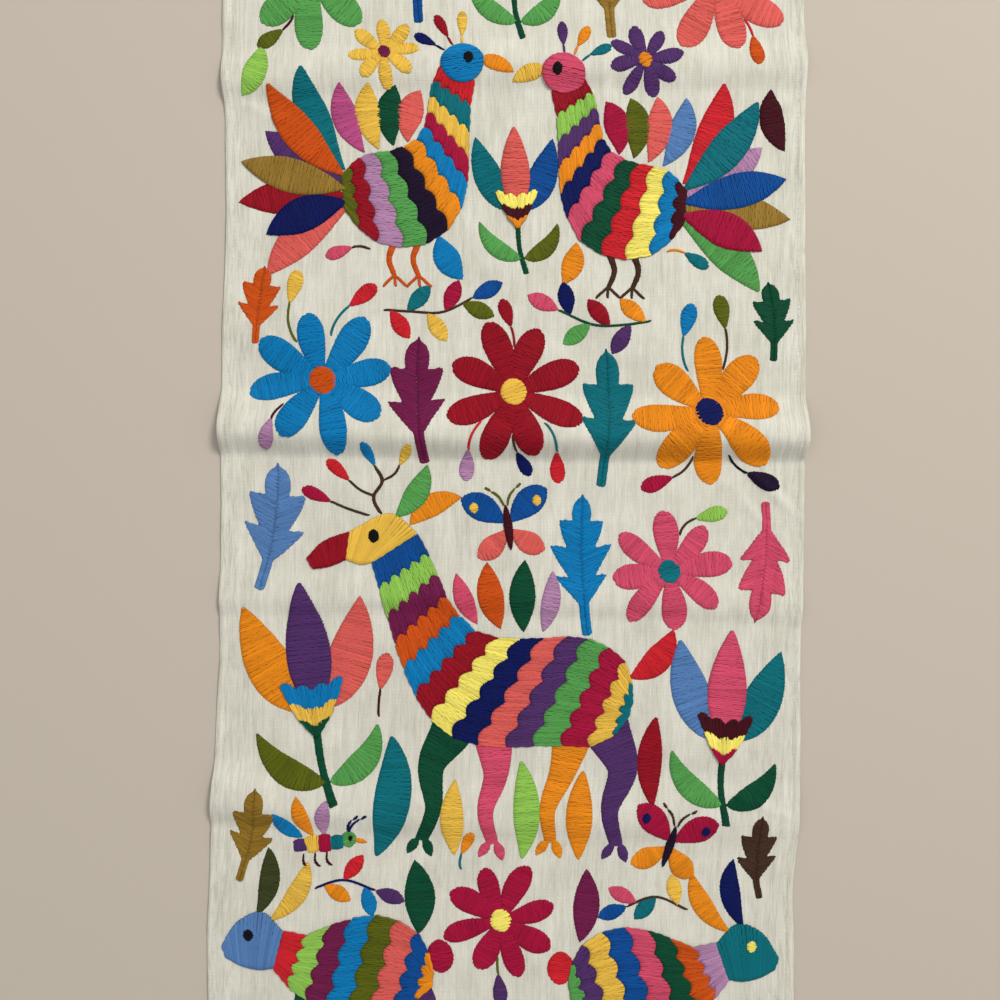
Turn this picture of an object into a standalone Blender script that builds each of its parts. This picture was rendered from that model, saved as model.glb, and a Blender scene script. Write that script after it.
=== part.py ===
"""Embroidered cotton runner: one panel of plain-weave cotton, lying on a flat surface.

The panel was stored folded, so it lies nearly flat but keeps its creases: one sharp ridge right across it,
four lower ones, and a few soft swells. Both long sides and both ends are turned under in a hem, where the
cloth is a little thicker.

Metres, +Z up. The length runs along Y and the width along X. The origin is under the middle of the panel, at
the height of the surface that it lies on.
"""

from collections import namedtuple
from math import cos, hypot, pi, radians, sin

import bmesh
import bpy
from mathutils import Vector

MM = 0.001

# Driving dimensions
CLOTH_LENGTH = 900 * MM
CLOTH_WIDTH = 400 * MM
CLOTH_THICKNESS = 1.1 * MM
HEM_THICKNESS = 1.6 * MM
SIDE_HEM = 5 * MM
END_HEM = 12 * MM
HEM_STEP = 1.5 * MM
END_BOW = 1.8 * MM

# How far apart the sheet's rows and columns lie, on the flat and over a crease
ROW_SPACING = 22 * MM
CREASE_ROW_SPACING = 4 * MM
COLUMN_SPACING = 26 * MM
LEAST_ROW_GAP = 1 * MM

# How far to each side of a point its slope is measured
SLOPE_STEP = 0.5 * MM

# The cotton's colour in linear light, and its finish
COTTON_COLOUR = (0.72, 0.68, 0.58, 1.0)
COTTON_ROUGHNESS = 0.9

# How far the two long edges wander, in millimetres: along is the place from the middle of the length, left
# and right are how far that edge lies towards +X of a straight panel's edge.
EdgeRow = namedtuple("EdgeRow", "along left right")
EDGE_ROWS = (
    EdgeRow(-450, 1.0, 0.0),
    EdgeRow(-345, 0.0, 0.7),
    EdgeRow(-300, -1.5, 0.0),
    EdgeRow(-260, -0.5, -1.0),
    EdgeRow(-225, 0.0, 2.0),
    EdgeRow(-165, 2.0, 2.8),
    EdgeRow(-110, 4.0, 1.4),
    EdgeRow(-60, 3.4, 2.4),
    EdgeRow(-20, 3.3, 2.6),
    EdgeRow(45, 2.2, 2.4),
    EdgeRow(115, 2.1, 1.6),
    EdgeRow(185, 3.5, 0.0),
    EdgeRow(250, 1.8, -1.2),
    EdgeRow(302, -1.3, -0.8),
    EdgeRow(343, -1.4, -3.4),
    EdgeRow(450, 0.0, -2.0),
)

# Creases right across the cloth, in millimetres: where the crest lies at the left and the right edge, how
# far its middle bows towards +Y, how high it stands at each edge, and how far its two slopes reach, towards
# +Y and towards -Y.
Crease = namedtuple("Crease", "name crest_left crest_right bow high_left high_right reach_up reach_down")
CREASES = (
    Crease("top crease", 283, 298, 5, 4.5, 3.0, 22, 16),
    Crease("main ridge", 45, 46, -2, 10.5, 11.0, 30, 18),
    Crease("middle crease", -70, -71, 4, 3.0, 2.4, 20, 14),
    Crease("lower fold", -208, -214, -5, 6.0, 2.6, 30, 20),
    Crease("end crease", -392, -386, 4, 3.0, 3.6, 22, 18),
)

# Soft swells between the creases, in millimetres, with the turn of their long axis from +X in degrees
Swell = namedtuple("Swell", "name across along turn half_long half_short high")
SWELLS = (
    Swell("right slant", 88, 112, -38, 70, 24, 2.4),
    Swell("left bulge", -142, 108, 4, 56, 24, 2.6),
    Swell("right side", 160, 200, 82, 60, 24, 2.0),
    Swell("left side", -170, -126, 86, 50, 22, 2.2),
    Swell("middle bulge", -62, -128, 70, 44, 26, 1.8),
    Swell("lower right", 118, -160, -20, 50, 26, 2.2),
)


def remove_start_objects():
    """Empties the scene that the script starts in."""
    for item in list(bpy.data.objects):
        bpy.data.objects.remove(item)


def eased(start, end, share):
    """A value between start and end that leaves both gently."""
    return start + (end - start) * share * share * (3.0 - 2.0 * share)


def edge_shift(side, y):
    """How far one long edge lies off a straight one, at a place along the length."""
    along = y / MM
    for low, high in zip(EDGE_ROWS, EDGE_ROWS[1:]):
        if along <= high.along:
            break
    share = (along - low.along) / (high.along - low.along)
    share = min(1.0, max(0.0, share))
    return eased(getattr(low, side), getattr(high, side), share) * MM


def hump(share):
    """The section of a crease or swell: 1 at its crest, 0 from its foot outwards."""
    return max(0.0, 1.0 - share * share) ** 2


def crest_place(crease, across):
    """Where a crease's crest lies along the length, at a share of the width."""
    straight = crease.crest_left + (crease.crest_right - crease.crest_left) * across
    return (straight + crease.bow * sin(pi * across)) * MM


def crease_height(crease, x, y):
    """How high one crease lifts the cloth at a point."""
    across = x / CLOTH_WIDTH + 0.5
    high = crease.high_left + (crease.high_right - crease.high_left) * across
    away = y - crest_place(crease, across)
    reach = crease.reach_up if away > 0.0 else crease.reach_down
    return high * MM * hump(away / (reach * MM))


def swell_height(swell, x, y):
    """How high one swell lifts the cloth at a point."""
    turn = radians(swell.turn)
    off_x = x / MM - swell.across
    off_y = y / MM - swell.along
    lengthwise = (off_x * cos(turn) + off_y * sin(turn)) / swell.half_long
    sideways = (off_y * cos(turn) - off_x * sin(turn)) / swell.half_short
    return swell.high * MM * hump(hypot(lengthwise, sideways))


def underside_height(x, y):
    """How high the cloth's underside is above the surface at a point."""
    creases = sum(crease_height(crease, x, y) for crease in CREASES)
    swells = sum(swell_height(swell, x, y) for swell in SWELLS)
    return creases + swells


def upward_normal(x, y):
    """The direction that faces straight out of the cloth at a point."""
    rise_x = underside_height(x + SLOPE_STEP, y) - underside_height(x - SLOPE_STEP, y)
    rise_y = underside_height(x, y + SLOPE_STEP) - underside_height(x, y - SLOPE_STEP)
    return Vector((-rise_x, -rise_y, 2.0 * SLOPE_STEP)).normalized()


def row_places():
    """Places along the length of the sheet's rows: close over each crease, wide on the flat."""
    half = CLOTH_LENGTH / 2.0
    ends = (0.0, END_HEM, END_HEM + HEM_STEP)
    places = [place for end in ends for place in (end - half, half - end)]
    for crease in CREASES:
        crests = [crest_place(crease, across) for across in (0.0, 0.5, 1.0)]
        lowest = min(crests) - crease.reach_down * MM
        highest = max(crests) + crease.reach_up * MM
        steps = round((highest - lowest) / CREASE_ROW_SPACING)
        places += [lowest + (highest - lowest) * step / steps for step in range(steps + 1)]
    places.sort()
    filled = [places[0]]
    for place in places[1:]:
        gap = place - filled[-1]
        if gap < LEAST_ROW_GAP:
            continue
        steps = max(1, round(gap / ROW_SPACING))
        start = filled[-1]
        filled += [start + gap * step / steps for step in range(1, steps + 1)]
    return filled


def column_places():
    """Distances of the sheet's columns from the left edge of a straight panel."""
    edge = (0.0, SIDE_HEM, SIDE_HEM + HEM_STEP)
    inner = CLOTH_WIDTH - 2.0 * edge[-1]
    steps = round(inner / COLUMN_SPACING)
    middle = [edge[-1] + inner * step / steps for step in range(1, steps)]
    far_edge = [CLOTH_WIDTH - place for place in reversed(edge)]
    return [*edge, *middle, *far_edge]


def placed(column, row):
    """Where a point of the straight panel lies once its edges wander."""
    share = column / CLOTH_WIDTH
    left = edge_shift("left", row)
    right = edge_shift("right", row)
    x = column - CLOTH_WIDTH / 2.0 + left + (right - left) * share
    bow = END_BOW * sin(pi * share) * (row / (CLOTH_LENGTH / 2.0)) ** 3
    return x, row - bow


def thickness(column, row):
    """The cloth's thickness: more in a hem than in the field."""
    from_side = min(column, CLOTH_WIDTH - column)
    from_end = CLOTH_LENGTH / 2.0 - abs(row)
    in_hem = from_side < SIDE_HEM + HEM_STEP / 2.0 or from_end < END_HEM + HEM_STEP / 2.0
    return HEM_THICKNESS if in_hem else CLOTH_THICKNESS


def sheet_mesh(name):
    """The panel as one closed sheet: an underside, a top and a wall round the rim."""
    rows = row_places()
    columns = column_places()
    bm = bmesh.new()
    under = []
    top = []
    for row in rows:
        under_row = []
        top_row = []
        for column in columns:
            x, y = placed(column, row)
            low = Vector((x, y, underside_height(x, y)))
            high = low + upward_normal(x, y) * thickness(column, row)
            under_row.append(bm.verts.new(low))
            top_row.append(bm.verts.new(high))
        under.append(under_row)
        top.append(top_row)
    for here, beyond, here_top, beyond_top in zip(under, under[1:], top, top[1:]):
        for left in range(len(columns) - 1):
            right = left + 1
            bm.faces.new((here[left], beyond[left], beyond[right], here[right]))
            bm.faces.new((here_top[left], here_top[right], beyond_top[right], beyond_top[left]))
        bm.faces.new((here[0], here_top[0], beyond_top[0], beyond[0]))
        bm.faces.new((here[-1], beyond[-1], beyond_top[-1], here_top[-1]))
    for left in range(len(columns) - 1):
        right = left + 1
        bm.faces.new((under[0][left], under[0][right], top[0][right], top[0][left]))
        bm.faces.new((under[-1][left], top[-1][left], top[-1][right], under[-1][right]))
    reach = [vert.co.x for vert in bm.verts]
    middle = (min(reach) + max(reach)) / 2.0
    bmesh.ops.translate(bm, vec=(-middle, 0.0, 0.0), verts=bm.verts)
    bmesh.ops.recalc_face_normals(bm, faces=bm.faces)
    mesh = bpy.data.meshes.new(name)
    bm.to_mesh(mesh)
    bm.free()
    return mesh


def cotton_material():
    """Unbleached cotton: pale, dull and uncoloured."""
    material = bpy.data.materials.new("unbleached_cotton")
    material.use_nodes = True
    shader = material.node_tree.nodes["Principled BSDF"]
    shader.inputs["Base Color"].default_value = COTTON_COLOUR
    shader.inputs["Roughness"].default_value = COTTON_ROUGHNESS
    shader.inputs["Metallic"].default_value = 0.0
    return material


def make_cloth_panel():
    """The panel, as one named object with its material."""
    mesh = sheet_mesh("cloth_panel")
    mesh.materials.append(cotton_material())
    panel = bpy.data.objects.new("cloth_panel", mesh)
    bpy.context.scene.collection.objects.link(panel)
    return panel


remove_start_objects()
make_cloth_panel()
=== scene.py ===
# %% [markdown]
# # An embroidered cotton cloth
#
# The real object is a long narrow hemmed cloth, taken here as unbleached cotton and covered in satin
# stitch: animals, birds, flowers and leaves in bright thread. It lies nearly flat with one raised crease
# across it, as if it was stored folded. The lesson makes the woven sheet, then the stitches one thread at
# a time, and dresses both in materials worked out by nodes. The kinds of figure and the dyes follow the
# photo. The figures' drawing and their orders of colour are this lesson's own.

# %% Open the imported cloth
from collections import namedtuple
from math import cos, pi, radians, sin

import bpy
import numpy as np
from mathutils import Matrix, Vector


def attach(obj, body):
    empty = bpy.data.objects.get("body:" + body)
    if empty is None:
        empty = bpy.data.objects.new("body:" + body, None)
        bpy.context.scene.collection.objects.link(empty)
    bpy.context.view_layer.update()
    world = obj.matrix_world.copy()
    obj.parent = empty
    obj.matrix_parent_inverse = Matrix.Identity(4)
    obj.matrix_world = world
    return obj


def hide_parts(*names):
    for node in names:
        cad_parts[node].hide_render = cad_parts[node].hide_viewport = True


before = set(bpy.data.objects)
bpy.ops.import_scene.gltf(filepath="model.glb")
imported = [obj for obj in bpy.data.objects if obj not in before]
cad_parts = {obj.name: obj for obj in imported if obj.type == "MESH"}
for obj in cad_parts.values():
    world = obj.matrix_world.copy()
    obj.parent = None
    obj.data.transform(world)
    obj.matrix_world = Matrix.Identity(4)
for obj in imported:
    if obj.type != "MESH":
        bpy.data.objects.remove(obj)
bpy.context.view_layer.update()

bpy.ops.object.select_all(action="DESELECT")
MM = 0.001

# %% [markdown]
# ## The straight panel and how it lies
#
# A sewn cloth is easiest to plan flat. Every motif below is placed in millimetres on the straight panel, x
# across it and y along it from its middle. One function then says where a point of that panel lies on the
# surface: its edges wander a little, and creases and swells lift it. A cloth simulation would give other
# creases each time it is changed, so these are listed one by one. The creases and swells have the solid's
# own sizes, and the puckers are small tucks that the solid is too coarse to hold.

# %% Sizes of the panel, its wandering edges, creases and swells
CLOTH_WIDTH = 400.0
CLOTH_LENGTH = 900.0
SIDE_HEM = 5.0
END_HEM = 12.0
END_BOW = 1.8

EdgeRow = namedtuple("EdgeRow", "along left right")
EDGE_ROWS = (
    EdgeRow(-450, 1.0, 0.0),
    EdgeRow(-345, 0.0, 0.7),
    EdgeRow(-300, -1.5, 0.0),
    EdgeRow(-260, -0.5, -1.0),
    EdgeRow(-225, 0.0, 2.0),
    EdgeRow(-165, 2.0, 2.8),
    EdgeRow(-110, 4.0, 1.4),
    EdgeRow(-60, 3.4, 2.4),
    EdgeRow(-20, 3.3, 2.6),
    EdgeRow(45, 2.2, 2.4),
    EdgeRow(115, 2.1, 1.6),
    EdgeRow(185, 3.5, 0.0),
    EdgeRow(250, 1.8, -1.2),
    EdgeRow(302, -1.3, -0.8),
    EdgeRow(343, -1.4, -3.4),
    EdgeRow(450, 0.0, -2.0),
)

Crease = namedtuple("Crease", "name crest_left crest_right bow high_left high_right reach_up reach_down")
CREASES = (
    Crease("top crease", 283, 298, 5, 4.5, 3.0, 22, 16),
    Crease("main ridge", 45, 46, -2, 10.5, 11.0, 30, 18),
    Crease("middle crease", -70, -71, 4, 3.0, 2.4, 20, 14),
    Crease("lower fold", -208, -214, -5, 6.0, 2.6, 30, 20),
    Crease("end crease", -392, -386, 4, 3.0, 3.6, 22, 18),
)

Swell = namedtuple("Swell", "name across along turn half_long half_short high")
SWELLS = (
    Swell("right slant", 88, 112, -38, 70, 24, 2.4),
    Swell("left bulge", -142, 108, 4, 56, 24, 2.6),
    Swell("right side", 160, 200, 82, 60, 24, 2.0),
    Swell("left side", -170, -126, 86, 50, 22, 2.2),
    Swell("middle bulge", -62, -128, 70, 44, 26, 1.8),
    Swell("lower right", 118, -160, -20, 50, 26, 2.2),
)
PUCKERS = (
    Swell("ridge nip, left", -172, 57, 3, 44, 6.0, -1.0),
    Swell("ridge nip, right", 168, 60, -4, 54, 6.0, -0.9),
    Swell("ridge shoulder, right", 158, 60, -2, 66, 7, 0.6),
    Swell("ridge shoulder, left", -150, 70, 5, 60, 8, 0.6),
    Swell("hollow over the left ridge", -178, 92, 12, 30, 9, -0.8),
    Swell("upper hem tuck", 180, 8, -42, 40, 5.4, 1.6),
    Swell("lower hem tuck", 162, 0, -48, 34, 5.0, 1.2),
    Swell("outer rib, right", 187, -44, 86, 72, 4.6, 1.4),
    Swell("inner rib, right", 176, -60, 95, 56, 4.2, 1.2),
    Swell("rib, left", -186, -34, 90, 56, 4.2, 1.1),
    Swell("tuck by the top crease", 172, 268, 26, 36, 6.0, 1.5),
    Swell("tuck at the top left", -172, 262, -20, 32, 6.0, 1.2),
    Swell("gather under the chin", -74, -68, 8, 50, 7, 0.6),
    Swell("tuck at the low left", -178, -186, 24, 28, 5.5, 1.0),
    Swell("tuck at the low right", 176, -206, -22, 32, 5.5, 1.1),
    Swell("wrinkle by the right flower", 186, 170, 84, 48, 4.4, 1.2),
)
CENTRE = (min(row.left for row in EDGE_ROWS) + max(row.right for row in EDGE_ROWS)) / 2.0
print(f"{len(CREASES)} creases, {len(SWELLS)} swells and {len(PUCKERS)} puckers")

# %% [markdown]
# ## Small unevenness
#
# Cotton that has been sewn all over never lies quite flat. The needle draws the ground in, and the hems make
# ribs beside the long edges. A sum of small waves, with seeded directions, gives that without a visible
# repeat, and costs far less than a simulation.

# %% Heights of the cloth
RIPPLE_COUNT = 16
RIPPLE_LENGTHS = (13.0, 46.0)
RIPPLE_HIGH = 0.12
RIPPLE_BASE = 0.25
RIB_PITCH = 4.4
RIB_HIGH = 0.20
RIB_REACH = 9.0

ripple_draw = np.random.default_rng(11)
ripple_lengths = ripple_draw.uniform(*RIPPLE_LENGTHS, RIPPLE_COUNT)
ripple_ways = ripple_draw.uniform(0.0, pi, RIPPLE_COUNT)
ripple_starts = ripple_draw.uniform(0.0, 2.0 * pi, RIPPLE_COUNT)


def hump(share):
    """The section of a crease or swell: 1 at its crest, 0 from its foot outwards."""
    return np.maximum(0.0, 1.0 - share**2) ** 2


def crease_height(crease, x, y):
    """How high one crease lifts the cloth."""
    across = x / CLOTH_WIDTH + 0.5
    crest = crease.crest_left + (crease.crest_right - crease.crest_left) * across
    crest = crest + crease.bow * np.sin(pi * across)
    high = crease.high_left + (crease.high_right - crease.high_left) * across
    reach = np.where(y > crest, crease.reach_up, crease.reach_down)
    return high * hump((y - crest) / reach)


def swell_height(swell, x, y):
    """How high one swell lifts the cloth."""
    turn = radians(swell.turn)
    lengthwise = ((x - swell.across) * cos(turn) + (y - swell.along) * sin(turn)) / swell.half_long
    sideways = ((y - swell.along) * cos(turn) - (x - swell.across) * sin(turn)) / swell.half_short
    return swell.high * hump(np.hypot(lengthwise, sideways))


def ripple_height(x, y):
    """Small waves of the sewn ground, and ribs beside the side hems."""
    total = np.zeros_like(x)
    for length, way, start in zip(ripple_lengths, ripple_ways, ripple_starts):
        size = RIPPLE_HIGH * length / RIPPLE_LENGTHS[1]
        total += size * np.sin((x * cos(way) + y * sin(way)) * 2.0 * pi / length + start)
    inward = CLOTH_WIDTH / 2.0 - np.abs(x)
    fade = np.exp(-((inward / RIB_REACH) ** 2)) * (0.7 + 0.3 * np.sin(y / 31.0))
    ribs = RIB_HIGH * fade * np.cos(2.0 * pi * inward / RIB_PITCH + np.sin(y / 47.0))
    return np.maximum(0.0, RIPPLE_BASE + total + ribs)


def edge_shift(side, y):
    """How far one long edge lies off a straight one."""
    alongs = np.array([row.along for row in EDGE_ROWS], float)
    shifts = np.array([getattr(row, side) for row in EDGE_ROWS])
    k = np.clip(np.searchsorted(alongs, y) - 1, 0, len(alongs) - 2)
    share = np.clip((y - alongs[k]) / (alongs[k + 1] - alongs[k]), 0.0, 1.0)
    return shifts[k] + (shifts[k + 1] - shifts[k]) * share * share * (3.0 - 2.0 * share)


def lying(x, y):
    """Where points of the straight panel lie, on the cloth's underside, in millimetres."""
    share = x / CLOTH_WIDTH + 0.5
    left = edge_shift("left", y)
    right = edge_shift("right", y)
    across = x + left + (right - left) * share
    along = y - END_BOW * np.sin(pi * share) * (y / (CLOTH_LENGTH / 2.0)) ** 3
    high = ripple_height(across, along)
    high = high + sum(crease_height(crease, across, along) for crease in CREASES)
    high = high + sum(swell_height(swell, across, along) for swell in SWELLS + PUCKERS)
    high = np.maximum(high, 0.0)
    return np.stack([across - CENTRE, along, high], axis=-1)


def outward(x, y, step=0.6):
    """The direction straight out of the cloth's upper side at points of the panel."""
    over = lying(x + step, y) - lying(x - step, y)
    up = lying(x, y + step) - lying(x, y - step)
    normal = np.cross(over, up)
    return normal / np.linalg.norm(normal, axis=-1, keepdims=True)


sample = lying(np.array([0.0]), np.array([45.0]))
print(f"The main ridge lifts the cloth by {sample[0, 2]:.1f} mm")

# %% [markdown]
# ## The thread colours
#
# Each colour is one dyed cotton thread. All but plum and mauve, which were judged, began as the
# median of one to four small patches of that thread in the photo. They were then shifted until the
# lit render came near. They are kept as red, green and blue out of 255. Blender's shaders work in linear
# light, so one small function converts them.

# %% Shade card
YARNS = {
    "rose": (206, 74, 102),
    "coral": (216, 92, 84),
    "red": (200, 30, 40),
    "crimson": (146, 8, 28),
    "magenta": (162, 9, 55),
    "plum": (110, 22, 68),
    "mauve": (182, 76, 128),
    "lilac": (174, 128, 164),
    "violet": (78, 44, 98),
    "aubergine": (26, 8, 38),
    "maroon": (64, 4, 18),
    "black": (8, 6, 8),
    "navy": (0, 14, 80),
    "blue": (2, 72, 142),
    "sky": (0, 118, 176),
    "steel": (84, 124, 176),
    "teal": (0, 106, 116),
    "deep_green": (0, 70, 44),
    "green": (84, 154, 76),
    "light_green": (142, 192, 80),
    "olive": (88, 94, 10),
    "grey_green": (58, 64, 28),
    "mustard": (140, 107, 32),
    "ochre": (148, 114, 44),
    "brown": (66, 42, 28),
    "gold": (230, 184, 70),
    "lemon": (242, 226, 104),
    "orange": (228, 135, 20),
    "burnt_orange": (200, 78, 12),
}


def linear(shade):
    """A shade out of 255 as linear red, green, blue and alpha."""
    parts = [part / 255.0 for part in shade]
    return (*[p / 12.92 if p < 0.04045 else ((p + 0.055) / 1.055) ** 2.4 for p in parts], 1.0)


print(f"{len(YARNS)} thread colours")

# %% [markdown]
# ## Drawing with two edges
#
# Satin stitch fills a shape with threads that run from one edge to the other. So a shape is kept as two
# matching curves, left and right, and a thread joins them at each step. Leaves, petals, legs, discs and the
# bands of an animal's body are all such columns. A stem is a cord: one curve with a width.

# %% Curves and columns
SAMPLES = 41
LAYER = 0.6

Column = namedtuple("Column", "left right yarn lift")
Cord = namedtuple("Cord", "path yarn width")


def smooth(points, steps=12):
    """A smooth curve through given points."""
    p = np.asarray(points, float)
    ends = np.vstack([2 * p[0] - p[1], p, 2 * p[-1] - p[-2]])
    t = np.linspace(0.0, 1.0, steps, endpoint=False)[:, None]
    parts = []
    for a, b, c, d in zip(ends, ends[1:], ends[2:], ends[3:]):
        parts.append(b + 0.5 * t * ((c - a) + t * (2 * a - 5 * b + 4 * c - d + t * (3 * b - a - 3 * c + d))))
    parts.append(p[-1:])
    return np.vstack(parts)


def way_along(curve):
    """How far along a curve each of its points lies."""
    return np.concatenate([[0.0], np.cumsum(np.hypot(*np.diff(curve, axis=0).T))])


def read(curve, marks, where):
    """Places on a curve whose points each have a mark, such as their way along it."""
    return np.column_stack([np.interp(where, marks, curve[:, k]) for k in (0, 1)])


def even(curve, count=SAMPLES):
    """The same curve as count points an even way apart."""
    way = way_along(curve)
    return read(curve, way, np.linspace(0.0, way[-1], count))


def at_share(curve, share):
    """Places on a curve at shares of its list of points."""
    return read(curve, np.arange(len(curve)), np.clip(share, 0.0, 1.0) * (len(curve) - 1))


def unit(vectors):
    """The same vectors at a length of one."""
    return vectors / np.maximum(np.hypot(*vectors.T), 1e-9)[:, None]


def sideways(curve):
    """Unit vectors to the left of a curve's run."""
    run = unit(np.gradient(curve, axis=0))
    return np.column_stack([-run[:, 1], run[:, 0]])


def heading(degrees):
    """A unit vector at an angle from +X."""
    return np.array((cos(radians(degrees)), sin(radians(degrees))))


def bowed(base, tip, bend, count):
    """A line from base to tip that bows to its left by a share of its length."""
    base = np.asarray(base, float)
    run = np.asarray(tip, float) - base
    t = np.linspace(0.0, 1.0, count)[:, None]
    return base + run * t + np.array((-run[1], run[0])) * bend * 4.0 * t * (1.0 - t)


def blade(base, tip, width, yarn, bend=0.0, belly=1.0, point=1.0, lift=0.0):
    """A leaf or petal in one column. A belly over 1 is wider towards the tip, a point under 1 is rounder."""
    middle = bowed(base, tip, bend, SAMPLES)
    t = np.linspace(0.0, 1.0, SAMPLES)[:, None]
    out = sideways(middle) * 0.5 * width * np.sin(pi * t**belly) ** point
    return [Column(middle + out, middle - out, yarn, lift)]


def petal(base, tip, width, yarn, bend=0.0, root=0.4, widest=0.62):
    """A petal or bud: it leaves its base at a share of its width and ends round, past its widest place."""
    middle = bowed(base, tip, bend, SAMPLES)
    t = np.linspace(0.0, 1.0, SAMPLES)[:, None]
    rise = root + (1.0 - root) * np.sin(0.5 * pi * np.clip(t / widest, 0.0, 1.0))
    beyond = np.clip((t - widest) / (1.0 - widest), 0.0, 1.0)
    out = sideways(middle) * 0.5 * width * rise * np.sqrt(1.0 - beyond**2)
    return [Column(middle + out, middle - out, yarn, 0.0)]


def limb(points, widths, yarn, lift=0.0):
    """A leg or neck that follows points, with widths read evenly along it."""
    middle = smooth(points)
    wide = np.interp(np.linspace(0, 1, len(middle)), np.linspace(0, 1, len(widths)), widths)
    out = sideways(middle) * 0.5 * wide[:, None]
    return [Column(even(middle + out), even(middle - out), yarn, lift)]


def turned(curve, degrees):
    """A curve turned about the origin."""
    c, s = cos(radians(degrees)), sin(radians(degrees))
    return curve @ np.array(((c, s), (-s, c)))


def disc(centre, radius, yarn, radius_y=None, turn=0.0, lift=0.0):
    """A round or oval, filled with chords."""
    t = np.linspace(-pi / 2, pi / 2, SAMPLES)
    half = np.column_stack([radius * np.cos(t), (radius_y or radius) * np.sin(t)])
    right = turned(half, turn) + centre
    left = turned(half * (-1.0, 1.0), turn) + centre
    return [Column(left, right, yarn, lift)]


def strip(inner, outer, yarn, scallops=0, depth=0.0, lift=0.0):
    """The space between two curves, whose outer edge can be scalloped."""
    inner = even(smooth(inner))
    outer = even(smooth(outer))
    away = unit(outer - inner)
    wave = np.abs(np.sin(pi * scallops * np.linspace(0.0, 1.0, SAMPLES)))
    return [Column(inner, outer + away * (depth * wave)[:, None], yarn, lift)]


def banded(upper, lower, yarns, scallops, depth):
    """A body cut into bands from its back to its belly, each with a scalloped edge."""
    count = 200
    upper = even(smooth(upper), count)
    lower = even(smooth(lower), count)
    down = np.linspace(0.0, 1.0, SAMPLES)[:, None]

    def across(share):
        """A straight cut through the body."""
        return at_share(upper, share) * (1.0 - down) + at_share(lower, share) * down

    wave = depth * (np.abs(np.sin(pi * scallops * down)) - 0.5)
    edges = [across(0.0)]
    for cut in np.linspace(0.0, 1.0, len(yarns) + 1)[1:-1]:
        ahead = unit(across(cut + 0.01) - across(cut - 0.01))
        edges.append(across(cut) + ahead * wave)
    edges.append(across(1.0))
    return [Column(a, b, yarn, LAYER) for a, b, yarn in zip(edges, edges[1:], yarns)]


def toothed(base, tip, width, yarn, lobes=3, bend=0.0):
    """A toothed leaf in two columns that meet at its midrib, on a short stalk."""
    stalk, deep, forward = 0.2, 0.55, 0.45
    middle = bowed(base, tip, bend, 2 * SAMPLES)
    t = np.linspace(0.0, 1.0, 2 * SAMPLES)
    inner = np.clip((t - stalk) / (1.0 - stalk), 0.0, 1.0)
    tooth = (lobes * inner + 0.15) % 1.0
    tooth = np.clip(tooth / 0.8, 0.0, 1.0) * np.clip((1.0 - tooth) / 0.12, 0.0, 1.0)
    half = 0.5 * width * np.sin(pi * inner**0.68) ** 0.95 * (1.0 - deep + deep * tooth)
    half = np.maximum(half, 0.08 * width * np.clip((0.75 - t) / 0.25, 0.0, 1.0))[:, None]
    out = sideways(middle)
    ahead = np.column_stack([out[:, 1], -out[:, 0]]) * half * forward * np.clip((1 - t) / 0.2, 0, 1)[:, None]
    return [
        Column(middle, middle + out * half + ahead, yarn, 0.0),
        Column(middle - out * half + ahead, middle, yarn, 0.0),
    ]


def bud(points, yarn, size, bud_yarn, way=None, plump=0.44):
    """A curved stem with a bud at its end, which points the way that the stem does unless told."""
    path = smooth(points)
    run = path[-1] - path[-4]
    if way is None:
        way = np.degrees(np.arctan2(run[1], run[0]))
    tip = path[-1] + size * heading(way)
    return [Cord(path, yarn, 2.2), *petal(path[-1], tip, size * plump, bud_yarn, root=0.2, widest=0.64)]


def sprig(x, y, way, long, curl, stem, bud_yarn, size):
    """A stem that starts one way, curls as it grows, and ends in a bud."""
    steps = 7
    ways = way + curl * np.linspace(0.0, 1.0, steps)
    path = np.vstack([[0.0, 0.0], np.cumsum([heading(each) * long / steps for each in ways], axis=0)])
    return bud(path + (x, y), stem, size, bud_yarn, plump=0.5)


def branch(points, stem, leaf_yarns, long):
    """A stem with leaves to both sides in turn and one at its end."""
    path = smooth(points)
    count = len(leaf_yarns) - 1
    made = [Cord(path, stem, 2.2)]
    for k, yarn in enumerate(leaf_yarns):
        place = min(len(path) - 1, round((k + 0.45) / count * (len(path) - 1)))
        run = path[min(place + 1, len(path) - 1)] - path[max(place - 2, 0)]
        way = np.degrees(np.arctan2(run[1], run[0])) + (0 if k == count else 52 if k % 2 else -52)
        tip = path[place] + heading(way) * long
        made += blade(path[place], tip, 0.5 * long, yarn, belly=1.15, point=0.7)
    return made


def moved(parts, place=(0, 0), turn=0.0, size=1.0, mirror=False):
    """The same parts elsewhere: mirrored, scaled, turned and shifted, in that order."""
    flip = np.array((-size if mirror else size, size))

    def new(curve):
        return turned(curve * flip, turn) + np.asarray(place, float)

    return [
        Column(new(part.left), new(part.right), part.yarn, part.lift)
        if isinstance(part, Column)
        else Cord(new(part.path), part.yarn, part.width)
        for part in parts
    ]


print("Shapes: blade, limb, disc, strip, banded body, toothed leaf and bud")

# %% [markdown]
# ## Flowers
#
# Daisies have eight round-ended petals about a small heart. The tall flowers have three pointed petals over
# a cup of scalloped rings. No two petals of hand work are quite alike, so their lengths and bends
# vary by a rule.

# %% Daisy and tall flower
PETALS = 8
NOTCH_OUT = 0.62


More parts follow.
